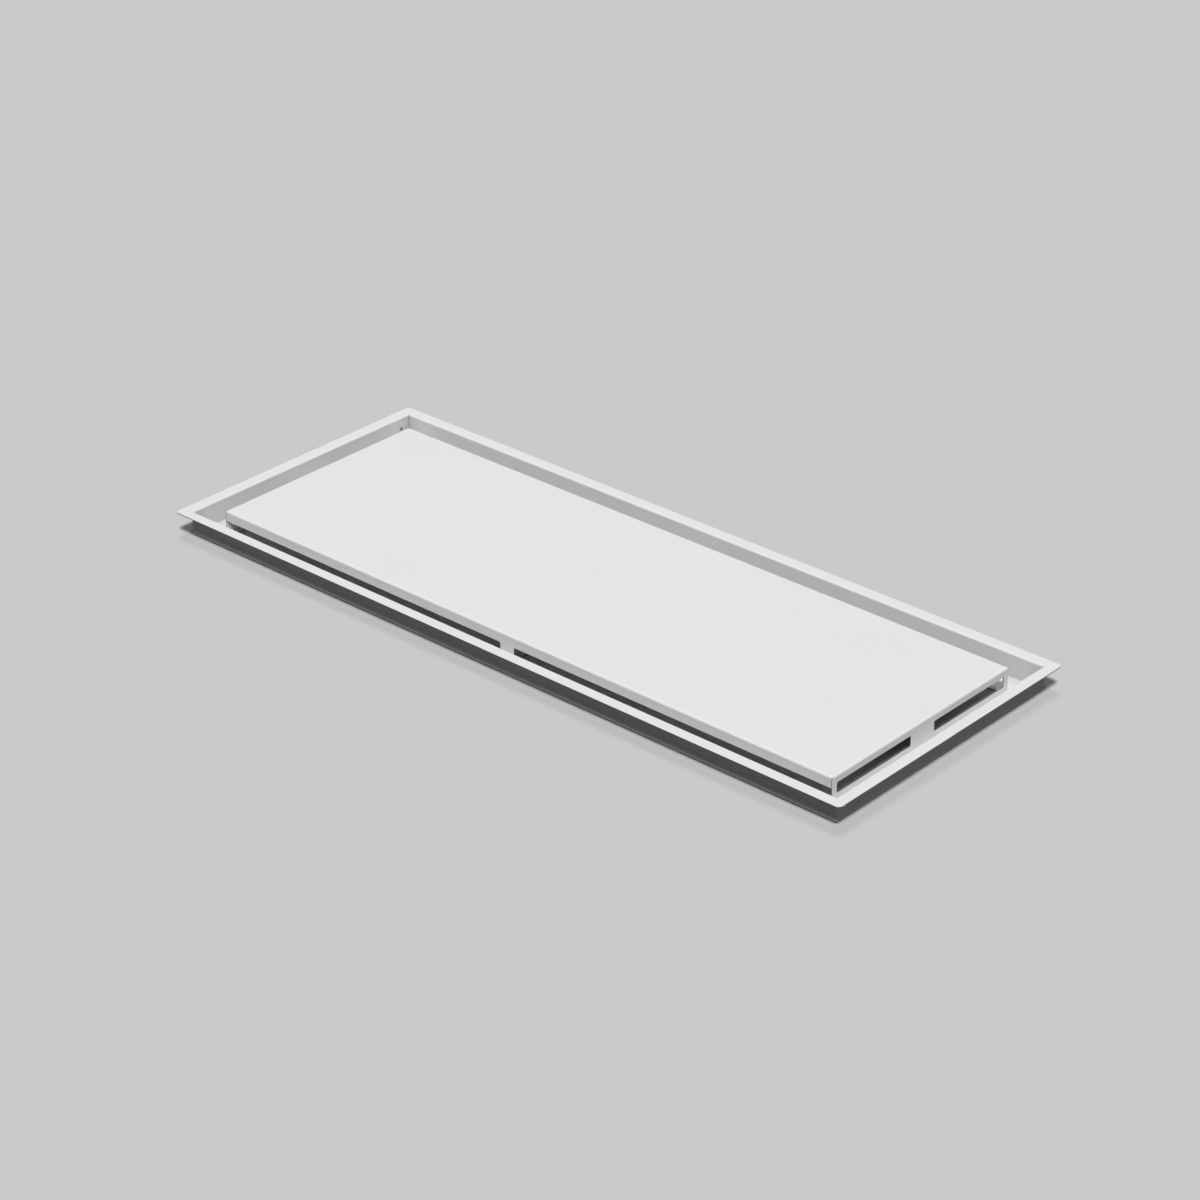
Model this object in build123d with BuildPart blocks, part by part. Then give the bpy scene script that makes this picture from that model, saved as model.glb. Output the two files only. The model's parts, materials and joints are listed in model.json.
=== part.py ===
"""Flush ceiling vent cover: a folded steel frame and the folded cover panel that stands in it.

The cover lies face up. Z = 0 is the underside of the frame floor, X runs along the long sides,
and the origin is under the middle of the cover.
"""
import os

from build123d import *

# Driving dimensions, in millimetres
sheet = 1.2  # steel sheet of both pieces
frame_bend_inside = 1.4  # inside radius of the two bends round the frame
panel_bend_inside = 1.8  # inside radius of the bend round the panel face

opening_length = 960.0  # between the inner faces of the short walls
opening_width = 360.0  # between the inner faces of the long walls
frame_height = 31.0  # underside of the floor to the room face
flange_reach = 15.0  # inner wall face to the outer edge of the flange
flange_corner_radius = 5.0

channel_width = 26.5  # air channel between the frame walls and the panel
ledge_under_panel = 7.5  # how far the frame floor runs in under the panel
floor_corner_radius = 2.0  # corners of the two floor openings
strap_width = 20.5  # cross strap of the floor, and the feet of the panel that stand on it

screw_hole_diameter = 4.3
screw_hole_inset = 13.5  # hole centre to the inner face of the long wall

lip_depth = 13.3  # lip that hangs along each long side of the panel
slot_corner_radius = 1.5
end_post_width = 8.2
centre_post_width = 41.0
window_drop = 9.4  # panel face to the top of the windows in the short sides
window_height = 12.5
window_corner_radius = 1.5

seam_width = 0.45  # groove left where folded edges meet at a corner
seam_depth = 0.6

# Sizes that follow from the driving ones
flange_length = opening_length + 2 * flange_reach
flange_width = opening_width + 2 * flange_reach
panel_length = opening_length - 2 * channel_width
panel_width = opening_width - 2 * channel_width
panel_height = frame_height - sheet
floor_opening_length = panel_length - 2 * ledge_under_panel
floor_opening_width = panel_width - 2 * ledge_under_panel
screw_hole_spacing = opening_width - 2 * screw_hole_inset
slot_length = (panel_length - strap_width) / 2 - sheet
slot_height = panel_height - lip_depth
window_length = (panel_width - centre_post_width) / 2 - end_post_width
window_middle = frame_height - window_drop - window_height / 2

os.makedirs("parts", exist_ok=True)

# Frame. One folded section, floor ledge, wall and flange, runs round the opening with mitred
# corners. Its middle line is bent at the foot of the wall and again under the flange.
with BuildPart() as frame:
    with BuildLine() as opening_outline:
        Polyline(
            (opening_length / 2, 0, 0),
            (opening_length / 2, opening_width / 2, 0),
            (-opening_length / 2, opening_width / 2, 0),
            (-opening_length / 2, -opening_width / 2, 0),
            (opening_length / 2, -opening_width / 2, 0),
            close=True,
        )
    with BuildSketch(Plane.XZ) as folded_section:
        with BuildLine():
            FilletPolyline(
                (floor_opening_length / 2, sheet / 2),
                (opening_length / 2 + sheet / 2, sheet / 2),
                (opening_length / 2 + sheet / 2, frame_height - sheet / 2),
                (flange_length / 2, frame_height - sheet / 2),
                radius=frame_bend_inside + sheet / 2,
            )
        trace(line_width=sheet)
    sweep(folded_section.sketch, path=opening_outline.wire(), transition=Transition.RIGHT)

    # The cross strap parts the floor into two openings
    with BuildSketch():
        Rectangle(strap_width, floor_opening_width)
    extrude(amount=sheet)
    floor_corners = frame.edges().filter_by(Axis.Z).filter_by_position(
        Axis.Y, -floor_opening_width / 2, floor_opening_width / 2
    )
    fillet(floor_corners, floor_corner_radius)

    flange_corners = frame.edges().filter_by(Axis.Z).group_by(
        SortBy.DISTANCE
    )[-1]
    fillet(flange_corners, flange_corner_radius)

    # The walls meet in a fine open seam at each inner corner
    with BuildSketch(Plane.XY.offset(sheet)):
        with GridLocations(opening_length - seam_width, opening_width, 2, 2):
            Rectangle(seam_width, 2 * seam_depth)
    extrude(amount=frame_height - sheet, mode=Mode.SUBTRACT)

    # Two screw holes at half height in each short wall
    with BuildSketch(Plane.YZ):
        with Locations((0, frame_height / 2)):
            with GridLocations(screw_hole_spacing, 1, 2, 1):
                Circle(screw_hole_diameter / 2)
    extrude(amount=flange_length / 2, both=True, mode=Mode.SUBTRACT)
frame.part.label = "frame"
export_step(frame.part, "parts/frame.step")

# Cover panel. A tray turned upside down, whose short sides and four feet stand on the floor
with BuildPart() as cover_panel:
    with BuildSketch(Plane.XY.offset(sheet)):
        Rectangle(panel_length, panel_width)
    extrude(amount=panel_height)
    fillet(cover_panel.faces().sort_by(Axis.Z)[-1].edges(), panel_bend_inside + sheet)
    offset(amount=-sheet, openings=cover_panel.faces().sort_by(Axis.Z)[0])

    # Long sides: the slot under the lip is open from the centre foot to the corner
    with BuildSketch(Plane.XZ) as slots:
        with Locations((0, sheet + slot_height / 2)):
            with GridLocations(strap_width + slot_length, 1, 2, 1):
                Rectangle(slot_length, slot_height)
        foot_corners = slots.vertices().group_by(Axis.Y)[-1].sort_by(Axis.X)[1:3]
        fillet(foot_corners, slot_corner_radius)
    extrude(amount=panel_width / 2, both=True, mode=Mode.SUBTRACT)

    # Short sides: two windows, with a post at each end and one in the middle
    with BuildSketch(Plane.YZ) as windows:
        with Locations((0, window_middle)):
            with GridLocations(centre_post_width + window_length, 1, 2, 1):
                RectangleRounded(window_length, window_height, window_corner_radius)
    extrude(amount=panel_length / 2, both=True, mode=Mode.SUBTRACT)

    # Seam between the end of each lip and the edge of the short side beside it
    with BuildSketch(Plane.XY.offset(frame_height - lip_depth)):
        with GridLocations(panel_length - sheet, panel_width, 2, 2):
            Rectangle(seam_width, 2 * seam_depth)
    extrude(amount=lip_depth, mode=Mode.SUBTRACT)
cover_panel.part.label = "cover_panel"
export_step(cover_panel.part, "parts/cover_panel.step")
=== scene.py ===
"""Looks of a flush ceiling vent cover of folded steel sheet, lying face up on a pale floor.

The cover has two pieces, a flanged frame and the panel that stands in it. Both are powder coated.
"""
import json
import math

import bmesh
import bpy
from bpy.props import FloatProperty, FloatVectorProperty, IntProperty, PointerProperty
from bpy.types import Operator, Panel, PropertyGroup
from mathutils import Euler, Matrix, Vector


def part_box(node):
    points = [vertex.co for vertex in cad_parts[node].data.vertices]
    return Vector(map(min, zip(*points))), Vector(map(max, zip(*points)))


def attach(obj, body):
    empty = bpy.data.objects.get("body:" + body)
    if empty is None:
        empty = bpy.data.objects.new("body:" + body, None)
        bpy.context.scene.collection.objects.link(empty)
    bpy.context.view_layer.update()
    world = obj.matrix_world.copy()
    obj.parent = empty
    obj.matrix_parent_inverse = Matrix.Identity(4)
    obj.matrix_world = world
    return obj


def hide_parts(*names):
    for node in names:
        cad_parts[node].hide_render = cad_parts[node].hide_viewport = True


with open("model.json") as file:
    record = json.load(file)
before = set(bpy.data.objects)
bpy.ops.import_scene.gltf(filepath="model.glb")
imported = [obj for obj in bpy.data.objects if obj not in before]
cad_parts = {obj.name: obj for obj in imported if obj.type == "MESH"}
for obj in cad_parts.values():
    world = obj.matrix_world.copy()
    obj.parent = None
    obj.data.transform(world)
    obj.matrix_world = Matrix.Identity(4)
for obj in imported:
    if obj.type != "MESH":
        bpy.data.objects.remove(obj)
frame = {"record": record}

bl_info = {
    "name": "Ceiling vent cover",
    "version": (1, 0, 0),
    "blender": (4, 5, 0),
    "location": "View3D > Sidebar > Vent cover",
    "description": "Builds a folded steel ceiling vent cover with its finish and its stage",
    "category": "Add Mesh",
}

MM = 0.001  # metres in a millimetre
SMOOTH_ANGLE = math.radians(12)  # faces that turn by less belong to one bend or one round corner
WELD_DISTANCE = 0.001 * MM
EDGE_SEGMENTS = 3  # faces across a rounded cut edge
FLAT_FACE_WEIGHT = 50  # how closely the normals keep to the large flat faces

# The CAD box, before anything is dressed
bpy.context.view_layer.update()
frame_low, frame_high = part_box("frame")
panel_low, panel_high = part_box("cover_panel")

# The panel stands on the floor of the frame, so its foot is one sheet above the frame's underside
SHEET = panel_low.z - frame_low.z
ROOM_FACE = frame_high.z

# Places of the two materials in the slots of each mesh
COAT, CUT_EDGE = 0, 1

# Sockets of the Mix node that have the same name for numbers and for colours
MIX_COLOUR_A, MIX_COLOUR_B, MIX_COLOUR_RESULT = 6, 7, 2

# The screw holes are a mount of the part, with their spacing and their size
screws = next(m for m in frame["record"]["mounts"] if m["name"] == "screws_right")
SCREW_HOLE_RADIUS = screws["dims"]["hole_r_mm"] * MM
SCREW_HOLE_SPACING = screws["dims"]["spacing_x_mm"] * MM

# Finish, beyond what a user may change
CLOUD_WIDTH = 70 * MM  # how slowly the thickness of the coat changes over the sheet
CLOUD_DEPTH = 0.015  # share by which that makes the white lighter or darker
PEEL_STRENGTH = 0.35
PEEL_DEPTH = 0.05 * MM
COAT_IOR = 1.5  # cured polyester
EDGE_ROUGHNESS = 0.5  # sheared steel is torn and dull

# Stage
FLOOR_HALF_SIZE = 8.0
FLOOR_GAP = 0.05 * MM  # keeps the floor clear of the underside of the frame
FLOOR_BOUNCE = 0.12  # share of the floor's colour that bounced light meets
WORLD_LIGHT = 0.05
HORIZON = 0.02  # how far above level the world reaches its full light
SOFTBOX_DISTANCE = 3.0

# The camera, fitted to the corners of the flange, the panel and the walls in the photograph
CAMERA_PLACE = (2.2065, -2.4764, 1.7979)
CAMERA_TILT = math.radians(61.702)
CAMERA_TURN = math.radians(41.701)
CAMERA_LENS = 100.0
SENSOR_WIDTH = 36.0


def length(label, description, millimetres):
    """A length that a user may change, given in millimetres."""
    return FloatProperty(
        name=label,
        description=description,
        default=millimetres * MM,
        min=0.0,
        unit="LENGTH",
        precision=5,
    )


def colour(label, description, hex_code):
    """A colour that a user may change, given as an sRGB hex value."""
    return FloatVectorProperty(
        name=label,
        description=description,
        default=linear_colour(hex_code),
        subtype="COLOR",
        min=0.0,
        max=1.0,
    )


def share(label, description, default):
    """A share from 0 to 1 that a user may change."""
    return FloatProperty(
        name=label, description=description, default=default, min=0.0, max=1.0, subtype="FACTOR"
    )


def linear_colour(hex_code):
    """The linear red, green and blue of an sRGB hex value such as #E6E6E6."""
    shares = [int(hex_code[i:i + 2], 16) / 255 for i in (1, 3, 5)]
    return [s / 12.92 if s <= 0.04045 else ((s + 0.055) / 1.055) ** 2.4 for s in shares]


def face_count(label, description, default):
    """A number of faces that a user may change. From 8 on, each turns by less than SMOOTH_ANGLE."""
    return IntProperty(name=label, description=description, default=default, min=8, max=32)


class VentCoverSizes(PropertyGroup):
    """Sizes of the folded sheet that the boxes of the two pieces don't give."""

    flange_reach: length("Flange reach", "Inner wall face to the outer edge of the flange", 15.0)
    flange_corner_radius: length("Flange corner radius", "Corners of the flange, seen from above", 5.0)
    frame_bend_inside: length("Frame bend", "Inside radius of the two bends round the frame", 1.4)
    panel_bend_inside: length("Panel bend", "Inside radius of the bend round the panel face", 1.8)
    ledge_under_panel: length("Ledge under panel", "How far the frame floor runs in under the panel", 7.5)
    strap_width: length("Strap width", "Cross strap of the floor and the feet on it", 20.5)
    floor_corner_radius: length("Floor corner radius", "Corners of the two floor openings", 2.0)
    lip_depth: length("Lip depth", "Lip that hangs along each long side of the panel", 13.3)
    slot_corner_radius: length("Slot corner radius", "Slot corner beside each foot", 1.5)
    end_post_width: length("End post width", "Post of a short side between window and corner", 8.2)
    centre_post_width: length("Centre post width", "Middle post of a short side", 41.0)
    window_drop: length("Window drop", "Panel face to the top of the windows", 9.4)
    window_height: length("Window height", "Height of the four windows", 12.5)
    window_corner_radius: length("Window corner radius", "Corners of the windows", 1.5)
    frame_seam_width: length("Frame seam width", "Groove where the walls meet at a corner", 0.45)
    panel_seam_width: length("Panel seam width", "Groove between a lip and the short side", 0.65)
    seam_depth: length("Seam depth", "Depth of both grooves", 1.0)
    cut_edge_radius: length("Cut edge radius", "How far a cut edge is rounded", 0.18)
    bend_steps: face_count("Bend steps", "Faces across each bend", 10)
    corner_steps: face_count("Corner steps", "Faces round each corner", 8)


class VentCoverFinish(PropertyGroup):
    """Colours and surface of the powder coat and of the stage."""

    coat_colour: colour("Coat colour", "Pure white satin powder coat", "#E8E8E7")
    floor_colour: colour("Floor colour", "Pale studio floor", "#CBCBC9")
    coat_roughness: share("Coat roughness", "Satin gloss of the coat", 0.42)
    peel_width: length("Peel width", "Width of one wave of the orange peel in the coat", 2.4)
    edge_colour: colour("Edge colour", "Sheared edge of the steel sheet", "#66676A")
    # Painted shade: the next three set an ambient occlusion that darkens the coat in corners and in the
    # channel. The frame takes far more of this painted shade than the panel.
    painted_shade_reach: length("Recess reach", "How near walls must be to keep the powder off", 25.0)
    frame_painted_shade_whiteness: share("Frame recess cover", "Whiteness deep in a recess of the frame", 0.42)
    panel_painted_shade_whiteness: share("Panel recess cover", "Whiteness of the panel deep in the channel", 0.9)


def rounded_corner(half_length, half_width, radius, steps):
    """Points of one rounded corner, from the side towards +X to the side towards +Y."""
    if radius == 0:
        return [(half_length, half_width)]
    return [
        (
            half_length - radius + radius * math.cos(math.pi / 2 * i / steps),
            half_width - radius + radius * math.sin(math.pi / 2 * i / steps),
        )
        for i in range(steps + 1)
    ]


def quarter_ring(half_length, half_width, z, radius=0.0, steps=0):
    """A quarter of a level ring round the middle of the cover, from +X round the corner to +Y."""
    corner = rounded_corner(half_length, half_width, radius, steps)
    return [(x, y, z) for x, y in [(half_length, 0.0), *corner, (0.0, half_width)]]


def bend_profile(centre, radius, start, end, steps):
    """Points (out, z) across a bend, from one angle to another in degrees."""
    angles = [math.radians(start + (end - start) * i / steps) for i in range(steps + 1)]
    return [(centre[0] + radius * math.cos(a), centre[1] + radius * math.sin(a)) for a in angles]


def add_face(mesh, points, material=COAT):
    """One flat face. Corners that faces share are welded later."""
    mesh.faces.new([mesh.verts.new(p) for p in points]).material_index = material


def add_strip(mesh, edge_a, edge_b, material=COAT):
    """Faces between two edges that have as many points."""
    for i in range(len(edge_a) - 1):
        add_face(mesh, (edge_a[i], edge_a[i + 1], edge_b[i + 1], edge_b[i]), material)


def add_rings(mesh, rings):
    """Faces between each quarter ring and the next. A rounded corner may meet a sharp one."""
    for ring_a, ring_b in zip(rings, rings[1:]):
        if len(ring_a) == len(ring_b):
            add_strip(mesh, ring_a, ring_b)
            continue
        rounded, sharp = (ring_a, ring_b) if len(ring_a) > len(ring_b) else (ring_b, ring_a)
        middle = len(rounded) // 2
        add_face(mesh, [*rounded[:middle + 1], sharp[1], sharp[0]])
        add_face(mesh, [*rounded[middle:], sharp[2], sharp[1]])


def add_wall_round_hole(mesh, x, hole, above, below):
    """The two faces of a short wall at x that lie above and below the middle line of a hole.

    hole has the points (y, z) from the hole's end towards +Y over its top and back. above and below
    run from that side of the wall to the other.
    """
    half = len(hole) // 2
    add_face(mesh, [(x, y, z) for y, z in [*hole[half::-1], *above]])
    add_face(mesh, [(x, y, z) for y, z in [*hole[half:], hole[0], *below]])


def add_hole_sleeve(mesh, x, hole):
    """The cut edge inside a hole of a short wall, from its face at x to the one a sheet further out."""
    closed = [*hole, hole[0]]
    add_strip(mesh, [(x, y, z) for y, z in closed], [(x + SHEET, y, z) for y, z in closed], CUT_EDGE)


def round_hole(y, z, radius, steps):
    """Points (y, z) of a screw hole."""
    turns = [math.tau * i / steps for i in range(steps)]
    return [(y + radius * math.cos(t), z + radius * math.sin(t)) for t in turns]


def window_outline(low, high, radius, steps):
    """Points (y, z) of a window with rounded corners, from the middle of its end towards +Y."""
    middle = ((low[0] + high[0]) / 2, (low[1] + high[1]) / 2)
    corner = rounded_corner((high[0] - low[0]) / 2, (high[1] - low[1]) / 2, radius, steps)
    end = corner[0][0]
    upper = [(end, 0.0), *corner, *[(-y, z) for y, z in reversed(corner)], (-end, 0.0)]
    lower = [(y, -z) for y, z in reversed(upper[1:-1])]
    return [(middle[0] + y, middle[1] + z) for y, z in [*upper, *lower]]


def frame_quarter(sizes):
    """A quarter of the frame: flange, wall and floor with both faces of the sheet and its cut edges."""
    mesh = bmesh.new()
    inner, outer = sizes.frame_bend_inside, sizes.frame_bend_inside + SHEET
    half_length, half_width = frame_high.x - sizes.flange_reach, frame_high.y - sizes.flange_reach
    steps, hole_height = sizes.corner_steps, ROOM_FACE / 2

    def ring(out, z, radius=0.0):
        return quarter_ring(half_length + out, half_width + out, z, radius, steps)

    def rings(profile):
        return [ring(out, z) for out, z in profile]

    reach, rounding, bend_steps = sizes.flange_reach, sizes.flange_corner_radius, sizes.bend_steps
    top_bend, low_bend = (outer, ROOM_FACE - outer), (-inner, SHEET + inner)
    room_edge, back_edge = ring(reach, ROOM_FACE, rounding), ring(reach, ROOM_FACE - SHEET, rounding)
    add_strip(mesh, room_edge, back_edge, CUT_EDGE)
    add_rings(mesh, [room_edge, *rings(bend_profile(top_bend, outer, 90, 180, bend_steps))])
    add_rings(mesh, [back_edge, *rings(bend_profile(top_bend, inner, 90, 180, bend_steps))])
    add_rings(mesh, rings(bend_profile(low_bend, inner, 0, -90, bend_steps)))
    add_rings(mesh, rings(bend_profile(low_bend, outer, 0, -90, bend_steps)))

    # Walls, with a screw hole in the short one
    hole = round_hole(SCREW_HOLE_SPACING / 2, hole_height, SCREW_HOLE_RADIUS, 4 * steps)
    for out in (0.0, SHEET):
        x, y = half_length + out, half_width + out
        above = [(y, hole_height), (y, top_bend[1]), (0.0, top_bend[1]), (0.0, hole_height)]
        below = [(y, hole_height), (y, low_bend[1]), (0.0, low_bend[1]), (0.0, hole_height)]
        add_wall_round_hole(mesh, x, hole, above, below)
        corner = [(x, y, z) for z in (top_bend[1], hole_height, low_bend[1])]
        add_face(mesh, [*corner, (0.0, y, low_bend[1]), (0.0, y, top_bend[1])])
    add_hole_sleeve(mesh, half_length, hole)

    # Floor, open but for the ledge under the panel and the strap across the middle
    opening_length = panel_high.x - sizes.ledge_under_panel
    opening_width = panel_high.y - sizes.ledge_under_panel
    strap, rounding = sizes.strap_width / 2, sizes.floor_corner_radius
    outer_corner = rounded_corner(opening_length, opening_width, rounding, steps)
    strap_corner = rounded_corner(-strap, opening_width, rounding, steps)
    strap_corner = [(-x, y) for x, y in reversed(strap_corner)]
    opening = [(opening_length, 0.0), *outer_corner, *strap_corner, (strap, 0.0)]
    edge_x, edge_y = half_length - inner, half_width - inner
    outline = [*opening, (0.0, 0.0), (0.0, edge_y), (edge_x, edge_y), (edge_x, 0.0)]
    for z in (0.0, SHEET):
        add_face(mesh, [(x, y, z) for x, y in outline])
    add_strip(mesh, [(x, y, SHEET) for x, y in opening], [(x, y, 0.0) for x, y in opening], CUT_EDGE)
    return mesh


def panel_quarter(sizes):
    """A quarter of the panel: face, long side with lip, slot and foot, short side with its window."""
    mesh = bmesh.new()
    inner = sizes.panel_bend_inside
    outer = inner + SHEET
    steps = sizes.corner_steps
    fold_length, fold_width = panel_high.x - outer, panel_high.y - outer
    fold_height = ROOM_FACE - outer
    for radius in (outer, inner):
        profile = bend_profile((0.0, fold_height), radius, 90, 0, sizes.bend_steps)
        add_rings(mesh, [quarter_ring(fold_length + out, fold_width + out, z) for out, z in profile])
        level = fold_height + radius
        add_face(mesh, [*quarter_ring(fold_length, fold_width, level), (0.0, 0.0, level)])

    # Short side, a full wall with a window. Below the lip it reaches the outer face of the long side
    length_out, width_out, foot = panel_high.x, panel_high.y, panel_low.z
    length_in, width_in = length_out - SHEET, width_out - SHEET
    window_top = ROOM_FACE - sizes.window_drop
    window = window_outline(
        (sizes.centre_post_width / 2, window_top - sizes.window_height),
        (width_out - sizes.end_post_width, window_top),
        sizes.window_corner_radius,
        steps,
    )
    middle, lip = window[0][1], ROOM_FACE - sizes.lip_depth
    below = [(width_out, middle), (width_out, foot), (0.0, foot), (0.0, middle)]
    above = [
        (width_out, middle),
        (width_out, lip),
        (width_out, fold_height),
        (0.0, fold_height),
        (0.0, middle),
    ]
    above_inside = [
        (width_out, middle),
        (width_out, lip),
        (width_in, lip),
        (width_in, fold_height),
        (0.0, fold_height),
        (0.0, middle),
    ]
    add_wall_round_hole(mesh, length_out, window, above, below)
    add_wall_round_hole(mesh, length_in, window, above_inside, below)
    add_hole_sleeve(mesh, length_in, window)
    foot_out, foot_in = ([(x, 0.0, foot), (x, width_out, foot)] for x in (length_out, length_in))
    add_strip(mesh, foot_out, foot_in, CUT_EDGE)

    # Long side. Its lower edge runs along the lip, round the slot corner and down the foot
    strap, rounding = sizes.strap_width / 2, sizes.slot_corner_radius
    slot_corner = [(-x, z) for x, z in reversed(rounded_corner(-strap, lip, rounding, steps))]
    lower_edge = [(length_in, lip), *slot_corner, (strap, foot), (0.0, foot)]
    outer_end, inner_end = [(length_out, fold_height), (length_out, lip)], [(length_in, fold_height)]
    add_face(mesh, [(x, width_out, z) for x, z in [(0.0, fold_height), *outer_end, *lower_edge]])
    add_face(mesh, [(x, width_in, z) for x, z in [(0.0, fold_height), *inner_end, *lower_edge]])
    lower_out, lower_in = ([(x, y, z) for x, z in lower_edge] for y in (width_out, width_in))
    add_strip(mesh, lower_out, lower_in, CUT_EDGE)

    # Below the lip the short side ends in its own cut edge
    short_edge = [(length_out, width_out, z) for z in (lip, middle, foot)]
    short_edge += [(length_in, width_out, z) for z in (foot, middle, lip)]
    add_face(mesh, short_edge, CUT_EDGE)
    return mesh


def whole_from_quarter(mesh):
    """The quarter mirrored to both sides and welded, with every face turned outwards."""
    bmesh.ops.remove_doubles(mesh, verts=mesh.verts, dist=WELD_DISTANCE)
    for axis in ("X", "Y"):
        everything = [*mesh.verts, *mesh.edges, *mesh.faces]
        bmesh.ops.mirror(
            mesh, geom=everything, matrix=Matrix.Identity(4), merge_dist=WELD_DISTANCE, axis=axis
        )
    bmesh.ops.recalc_face_normals(mesh, faces=mesh.faces)


def object_from_mesh(name, mesh, materials, smooth):
    """A new object of the scene that holds the finished mesh."""
    for face in mesh.faces:
        face.smooth = smooth
    data = bpy.data.meshes.new(name)
    mesh.to_mesh(data)
    mesh.free()
    for material in materials:
        data.materials.append(material)
    piece = bpy.data.objects.new(name, data)
    bpy.context.scene.collection.objects.link(piece)
    return piece


def seam_cutter(centre_x, centre_y, width, sizes, bottom, materials):
    """Four upright bars that cut the seam grooves at the corners, where the cut edges show."""
    mesh = bmesh.new()
    size = (width, 2 * sizes.seam_depth, ROOM_FACE)
    for x in (-centre_x, centre_x):
        for y in (-centre_y, centre_y):
            place = Matrix.Translation((x, y, bottom + ROOM_FACE / 2)) @ Matrix.Diagonal((*size, 1.0))
            bmesh.ops.create_cube(mesh, size=1.0, matrix=place)
    for face in mesh.faces:
        face.material_index = CUT_EDGE
    return object_from_mesh("seam_cutter", mesh, materials, smooth=False)


def apply_modifiers(piece):
    """Turns what the modifiers give into the piece's own mesh."""
    graph = bpy.context.evaluated_depsgraph_get()
    data = bpy.data.meshes.new_from_object(piece.evaluated_get(graph))
    piece.modifiers.clear()
    piece.data = data


def round_edges_and_cut_seams(piece, cutter, sizes):
    """Rounds every cut edge as deburring leaves it, then cuts the seams.

    It works at a thousand times the size, because bevel and boolean lose lengths under 0.1 mm. The
    bevel isn't clamped, because the small faces round the corners would hold it back on every edge.
    """
    enlarge = Matrix.Scale(1 / MM, 4)
    for item in (piece, cutter):
        item.data.transform(enlarge)
    bevel = piece.modifiers.new("cut edges", "BEVEL")
    bevel.width = sizes.cut_edge_radius / MM
    bevel.segments = EDGE_SEGMENTS
    bevel.limit_method = "ANGLE"
    bevel.angle_limit = SMOOTH_ANGLE
    bevel.use_clamp_overlap = False
    seams = piece.modifiers.new("seams", "BOOLEAN")
    seams.operation = "DIFFERENCE"
    seams.solver = "EXACT"
    seams.object = cutter
    apply_modifiers(piece)
    piece.data.transform(Matrix.Scale(MM, 4))
    bpy.data.objects.remove(cutter)
    normals = piece.modifiers.new("flat faces", "WEIGHTED_NORMAL")
    normals.mode = "FACE_AREA"
    normals.weight = FLAT_FACE_WEIGHT
    normals.keep_sharp = True


def add_node(tree, kind, inputs=None, **settings):
    """Adds a node with its settings. An input is a value, or an output of another node to link."""
    node = tree.nodes.new(kind)
    for key, value in settings.items():
        setattr(node, key, value)
    for key, value in (inputs or {}).items():
        if isinstance(value, bpy.types.NodeSocket):
            tree.links.new(value, node.inputs[key])
        else:
            node.inputs[key].default_value = value
    return node


def new_material(name):
    """An empty material and its node tree."""
    material = bpy.data.materials.new(name)
    material.use_nodes = True
    material.node_tree.nodes.clear()
    return material, material.node_tree


def satin_powder_coated_steel(name, finish, painted_shade_whiteness):
    """Steel sheet with a baked polyester powder coat, sprayed and cured.

    The eye sees an even white with a soft sheen, and a faint orange peel where light grazes it. The
    real peel is about 2 mm wide and some micrometres deep, and is drawn deeper here so that it shows.
    Inner corners and the channel are greyer by painted shade: an ambient occlusion node darkens the white
    where walls are near. The last argument is how white the deepest recess still is under that painted
    shade.
    """
    material, tree = new_material(name)
    place = add_node(tree, "ShaderNodeTexCoord").outputs["Object"]
    peel = add_node(
        tree,
        "ShaderNodeTexNoise",
        {"Vector": place, "Scale": 1 / finish.peel_width, "Detail": 2.0, "Roughness": 0.55},
    )
    cloud = add_node(
        tree,
        "ShaderNodeTexNoise",
        {"Vector": place, "Scale": 1 / CLOUD_WIDTH, "Detail": 3.0},
    )
    darker = [c * (1 - CLOUD_DEPTH) for c in finish.coat_colour]
    lighter = [min(c * (1 + CLOUD_DEPTH), 1.0) for c in finish.coat_colour]
    tint = add_node(
        tree,
        "ShaderNodeMix",
        {"Factor": cloud.outputs["Fac"], MIX_COLOUR_A: (*darker, 1.0), MIX_COLOUR_B: (*lighter, 1.0)},
        data_type="RGBA",
        blend_type="MIX",
    )
    # Painted shade: ambient occlusion darkens the coat's colour where walls are near, in corners and in
    # the channel.
    recess = add_node(
        tree,
        "ShaderNodeAmbientOcclusion",
        {"Distance": finish.painted_shade_reach},
        samples=6,
    )
    cover = add_node(
        tree,
        "ShaderNodeMapRange",
        {"Value": recess.outputs["AO"], "To Min": painted_shade_whiteness, "To Max": 1.0},
    )
    shade = add_node(
        tree,
        "ShaderNodeVectorMath",
        {0: tint.outputs[MIX_COLOUR_RESULT], "Scale": cover.outputs[0]},
        operation="SCALE",
    )
    bump = add_node(
        tree,
        "ShaderNodeBump",
        {"Height": peel.outputs["Fac"], "Strength": PEEL_STRENGTH, "Distance": PEEL_DEPTH},
    )
    coat = add_node(
        tree,
        "ShaderNodeBsdfPrincipled",
        {
            "Base Color": shade.outputs[0],
            "Roughness": finish.coat_roughness,
            "IOR": COAT_IOR,
            "Metallic": 0.0,
            "Normal": bump.outputs["Normal"],
        },
    )
    add_node(tree, "ShaderNodeOutputMaterial", {"Surface": coat.outputs["BSDF"]})
    return material


def sheared_steel_edge(finish):
    """Sheared edge of the steel sheet, which hardly holds the powder.

    The eye sees a thin dull grey line round the flange, the windows and the slots, and dark seams.
    """
    material, tree = new_material("sheared steel edge")
    steel = add_node(
        tree,
        "ShaderNodeBsdfPrincipled",
        {"Base Color": (*finish.edge_colour, 1.0), "Roughness": EDGE_ROUGHNESS, "Metallic": 1.0},
    )
    add_node(tree, "ShaderNodeOutputMaterial", {"Surface": steel.outputs["BSDF"]})
    return material


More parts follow.
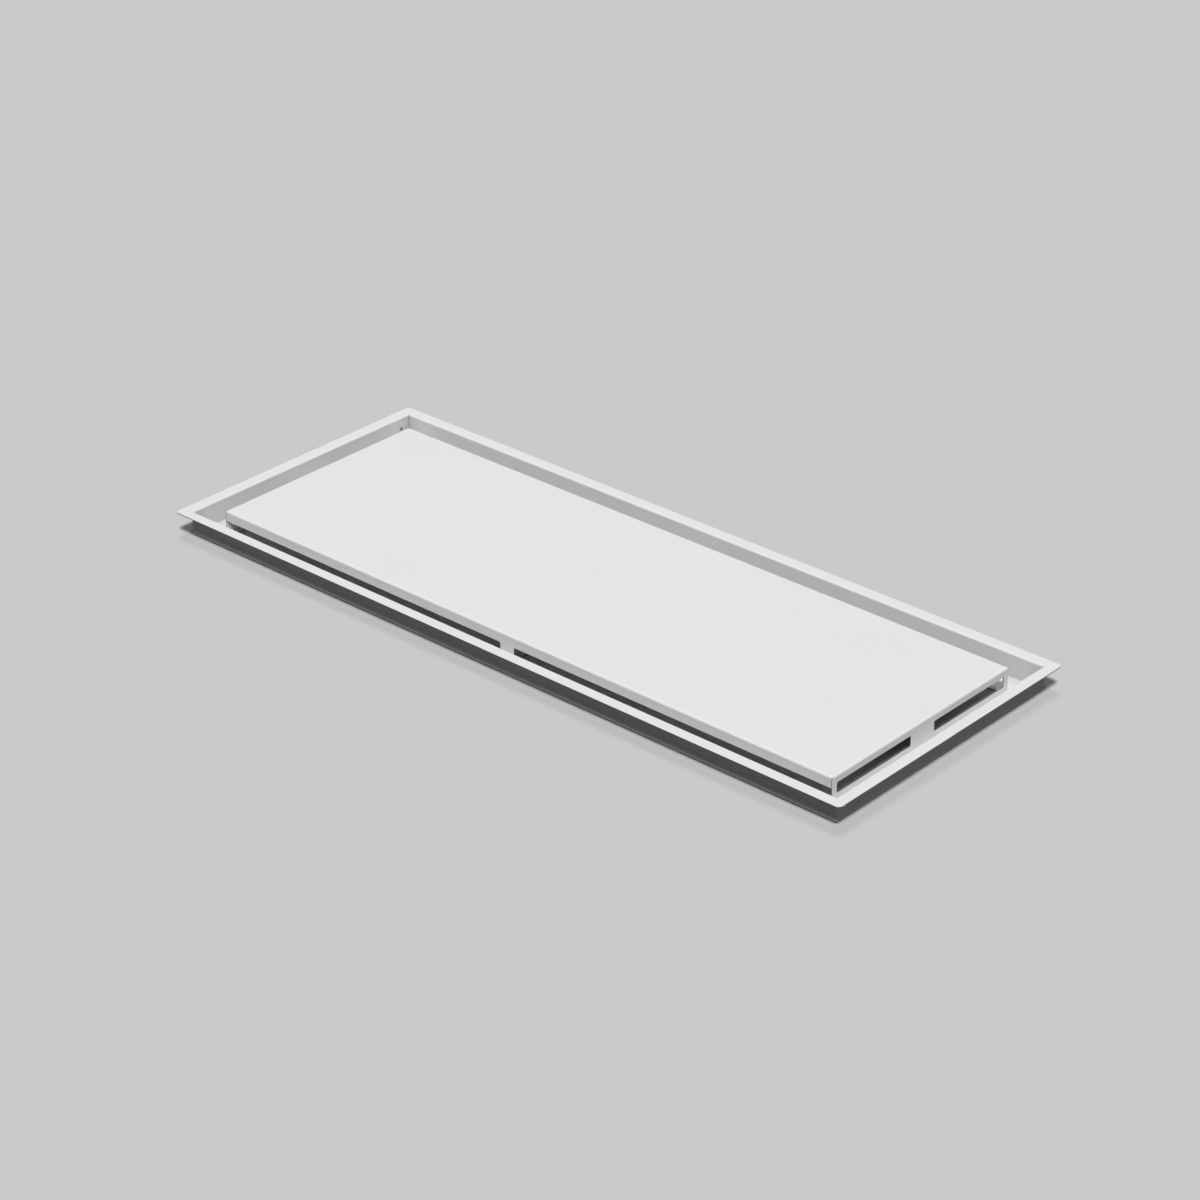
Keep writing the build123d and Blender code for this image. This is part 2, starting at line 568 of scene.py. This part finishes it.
def piece_materials(finish, coat_name, painted_shade_whiteness):
    """The coat of one piece and the cut edge, which both pieces share, in the order of their slots."""
    coat = satin_powder_coated_steel(coat_name, finish, painted_shade_whiteness)
    edge = bpy.data.materials.get("sheared steel edge") or sheared_steel_edge(finish)
    return coat, edge


def place_in_frame(piece, node):
    """Puts a finished piece on the body that it rides on, and hides the CAD node that it stands for."""
    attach(piece, "root")
    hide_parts(node)


class VENTCOVER_OT_frame(Operator):
    """Builds the flanged frame from one folded section"""

    bl_idname = "ventcover.frame"
    bl_label = "Build frame"

    def execute(self, context):
        sizes, finish = context.scene.vent_cover_sizes, context.scene.vent_cover_finish
        mesh = frame_quarter(sizes)
        whole_from_quarter(mesh)
        # The frame's coat, with strong painted shade in its recesses
        materials = piece_materials(finish, "satin powder coat, frame", finish.frame_painted_shade_whiteness)
        piece = object_from_mesh("flanged_frame", mesh, materials, smooth=True)
        corner_x = frame_high.x - sizes.flange_reach - sizes.frame_seam_width / 2
        corner_y = frame_high.y - sizes.flange_reach
        cutter = seam_cutter(corner_x, corner_y, sizes.frame_seam_width, sizes, SHEET, materials)
        round_edges_and_cut_seams(piece, cutter, sizes)
        place_in_frame(piece, "frame")
        return {"FINISHED"}


class VENTCOVER_OT_panel(Operator):
    """Builds the cover panel with its lips, feet and windows"""

    bl_idname = "ventcover.panel"
    bl_label = "Build cover panel"

    def execute(self, context):
        sizes, finish = context.scene.vent_cover_sizes, context.scene.vent_cover_finish
        mesh = panel_quarter(sizes)
        whole_from_quarter(mesh)
        # The panel's coat, with faint painted shade in its recesses
        materials = piece_materials(finish, "satin powder coat, panel", finish.panel_painted_shade_whiteness)
        piece = object_from_mesh("folded_panel", mesh, materials, smooth=True)
        lip = ROOM_FACE - sizes.lip_depth
        corner_x = panel_high.x - SHEET / 2
        cutter = seam_cutter(corner_x, panel_high.y, sizes.panel_seam_width, sizes, lip, materials)
        round_edges_and_cut_seams(piece, cutter, sizes)
        place_in_frame(piece, "cover_panel")
        return {"FINISHED"}


def direct_or_glossy(tree):
    """1 for rays from the camera, off gloss or through glass, and 0 for diffuse light."""
    path = add_node(tree, "ShaderNodeLightPath")
    gloss = add_node(
        tree,
        "ShaderNodeMath",
        {0: path.outputs["Is Glossy Ray"], 1: path.outputs["Is Transmission Ray"]},
        operation="MAXIMUM",
    )
    both = add_node(
        tree,
        "ShaderNodeMath",
        {0: path.outputs["Is Camera Ray"], 1: gloss.outputs[0]},
        operation="MAXIMUM",
    )
    return both.outputs[0]


def pale_floor_material(finish):
    """Painted studio floor, matt. Only what looks at it directly, or through gloss, sees it pale.

    Light that bounces off it meets a dark floor, so that the sides of the cover stay as dark as
    above an open space.
    """
    material, tree = new_material("matt studio floor paint")
    seen = add_node(tree, "ShaderNodeBsdfDiffuse", {"Color": (*finish.floor_colour, 1.0)})
    dark = [c * FLOOR_BOUNCE for c in finish.floor_colour]
    bounced = add_node(tree, "ShaderNodeBsdfDiffuse", {"Color": (*dark, 1.0)})
    shader = add_node(
        tree,
        "ShaderNodeMixShader",
        {0: direct_or_glossy(tree), 1: bounced.outputs[0], 2: seen.outputs[0]},
    )
    add_node(tree, "ShaderNodeOutputMaterial", {"Surface": shader.outputs[0]})
    return material


def spherical(distance, azimuth, elevation):
    """The place at a distance from the middle, at angles in degrees.

    Azimuth 0 is towards -Y and 90 towards +X.
    """
    across, up = math.radians(azimuth), math.radians(elevation)
    level = math.cos(up)
    return distance * Vector((math.sin(across) * level, -math.cos(across) * level, math.sin(up)))


def add_far_softbox(name, azimuth, elevation, strength, width):
    """A softbox so far off that it lights the whole cover evenly.

    width is the angle that it fills, in degrees. Its place only shows where the light comes from.
    """
    lamp = bpy.data.lights.new(name, "SUN")
    lamp.energy = strength
    lamp.angle = math.radians(width)
    softbox = bpy.data.objects.new(name, lamp)
    softbox.location = spherical(SOFTBOX_DISTANCE, azimuth, elevation)
    softbox.rotation_euler = softbox.location.to_track_quat("Z", "Y").to_euler()
    bpy.context.scene.collection.objects.link(softbox)


def studio_world(finish):
    """A faint even light from above the horizon, and a plain pale backdrop where it is seen."""
    world = bpy.data.worlds.new("studio dome")
    world.use_nodes = True
    tree = world.node_tree
    tree.nodes.clear()
    direction = add_node(tree, "ShaderNodeTexCoord").outputs["Generated"]
    height = add_node(tree, "ShaderNodeSeparateXYZ", {"Vector": direction}).outputs["Z"]
    level = add_node(
        tree,
        "ShaderNodeMapRange",
        {"Value": height, "From Min": 0.0, "From Max": HORIZON, "To Min": 0.0, "To Max": WORLD_LIGHT},
    )
    light = add_node(
        tree,
        "ShaderNodeBackground",
        {"Color": (1.0, 1.0, 1.0, 1.0), "Strength": level.outputs[0]},
    )
    seen = add_node(
        tree,
        "ShaderNodeBackground",
        {"Color": (*finish.floor_colour, 1.0), "Strength": 1.0},
    )
    shader = add_node(
        tree,
        "ShaderNodeMixShader",
        {0: direct_or_glossy(tree), 1: light.outputs[0], 2: seen.outputs[0]},
    )
    add_node(tree, "ShaderNodeOutputWorld", {"Surface": shader.outputs[0]})
    bpy.context.scene.world = world


class VENTCOVER_OT_stage(Operator):
    """Sets the floor, the light and the camera of the photograph's view"""

    bl_idname = "ventcover.stage"
    bl_label = "Set stage"

    def execute(self, context):
        finish = context.scene.vent_cover_finish
        mesh = bmesh.new()
        bmesh.ops.create_grid(mesh, x_segments=1, y_segments=1, size=FLOOR_HALF_SIZE)
        floor = object_from_mesh("floor", mesh, [pale_floor_material(finish)], smooth=False)
        floor.location.z = frame_low.z - FLOOR_GAP
        studio_world(finish)

        # The flange keeps the first softbox off the outer walls, and the second reaches the channel
        add_far_softbox(
            "softbox behind the camera", azimuth=43.0, elevation=57.3, strength=2.94, width=11.0
        )
        add_far_softbox("softbox overhead", azimuth=222.0, elevation=77.0, strength=0.48, width=20.0)

        lens = bpy.data.cameras.new("camera")
        lens.lens = CAMERA_LENS
        lens.sensor_width = SENSOR_WIDTH
        lens.clip_start = 0.1
        lens.clip_end = 50.0
        camera = bpy.data.objects.new("camera", lens)
        camera.location = CAMERA_PLACE
        camera.rotation_euler = Euler((CAMERA_TILT, 0.0, CAMERA_TURN))
        context.scene.collection.objects.link(camera)
        context.scene.camera = camera
        context.scene.view_settings.view_transform = "Standard"
        return {"FINISHED"}


class VENTCOVER_PT_sidebar(Panel):
    """Lists what builds the cover, and its sizes and finish"""

    bl_idname = "VENTCOVER_PT_sidebar"
    bl_label = "Ceiling vent cover"
    bl_space_type = "VIEW_3D"
    bl_region_type = "UI"
    bl_category = "Vent cover"

    def draw(self, context):
        for operator in (VENTCOVER_OT_frame, VENTCOVER_OT_panel, VENTCOVER_OT_stage):
            self.layout.operator(operator.bl_idname)
        for group in (context.scene.vent_cover_sizes, context.scene.vent_cover_finish):
            for name in group.__annotations__:
                self.layout.prop(group, name)


CLASSES = (
    VentCoverSizes,
    VentCoverFinish,
    VENTCOVER_OT_frame,
    VENTCOVER_OT_panel,
    VENTCOVER_OT_stage,
    VENTCOVER_PT_sidebar,
)


def register():
    for item in CLASSES:
        bpy.utils.register_class(item)
    bpy.types.Scene.vent_cover_sizes = PointerProperty(type=VentCoverSizes)
    bpy.types.Scene.vent_cover_finish = PointerProperty(type=VentCoverFinish)


def unregister():
    del bpy.types.Scene.vent_cover_finish
    del bpy.types.Scene.vent_cover_sizes
    for item in reversed(CLASSES):
        bpy.utils.unregister_class(item)


def main():
    register()
    bpy.ops.ventcover.frame()
    bpy.ops.ventcover.panel()
    bpy.ops.ventcover.stage()


if __name__ == "__main__":
    main()
